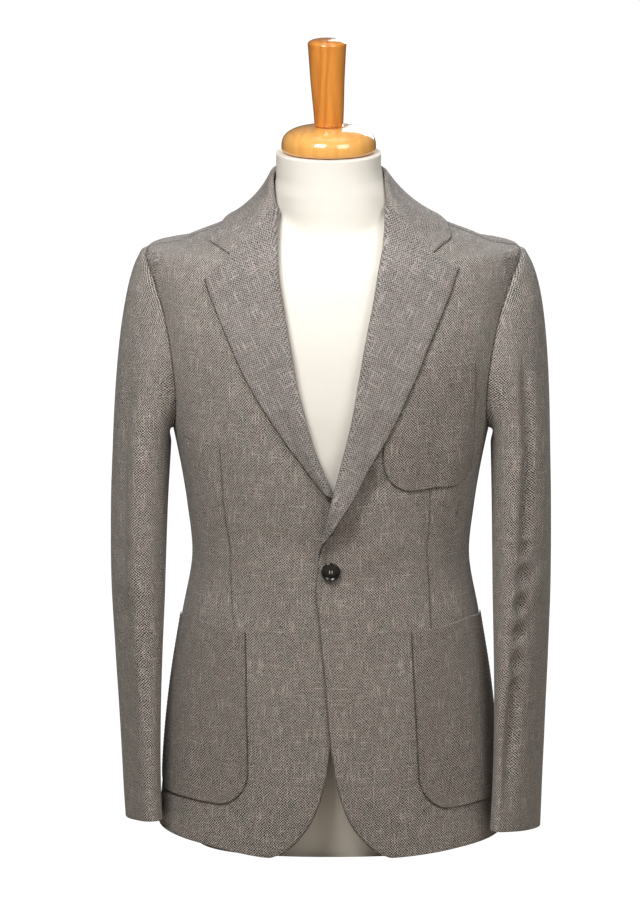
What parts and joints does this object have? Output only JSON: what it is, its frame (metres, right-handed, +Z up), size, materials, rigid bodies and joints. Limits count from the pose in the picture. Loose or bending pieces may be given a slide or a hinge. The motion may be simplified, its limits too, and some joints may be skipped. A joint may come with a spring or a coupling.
{
  "type": "one-button wool blazer on a limbless dress form",
  "caption": "Tailored single-breasted wool blazer with notch lapels and patch pockets, buttoned on a limbless dress form with a wooden neck cap and handle.",
  "frame": {"origin": "on the floor, at the middle of the dress form's flat base", "axes": "+Z up, the front faces -Y, the wearer's left is +X"},
  "size_m": [0.4906, 0.2817, 0.9043],
  "materials": {
    "wool": "napped taupe wool in a fine broken twill of light and dark yarns",
    "horn": "polished dark horn",
    "form": "cream cotton stretched smooth over the form",
    "wood": "varnished honey-coloured hardwood"
  },
  "bodies": {
    "root": {"front_left": "wool", "front_right": "wool", "facing_left": "wool", "facing_right": "wool", "side_left": "wool", "side_right": "wool", "back_left": "wool", "back_right": "wool", "sleeve_top_left": "wool", "sleeve_top_right": "wool", "sleeve_under_left": "wool", "sleeve_under_right": "wool", "collar": "wool", "pocket_chest": "wool", "pocket_hip_left": "wool", "pocket_hip_right": "wool", "button": "horn", "form_torso": "form", "neck_cap": "wood", "cap_handle": "wood"}
  },
  "joints": []
}
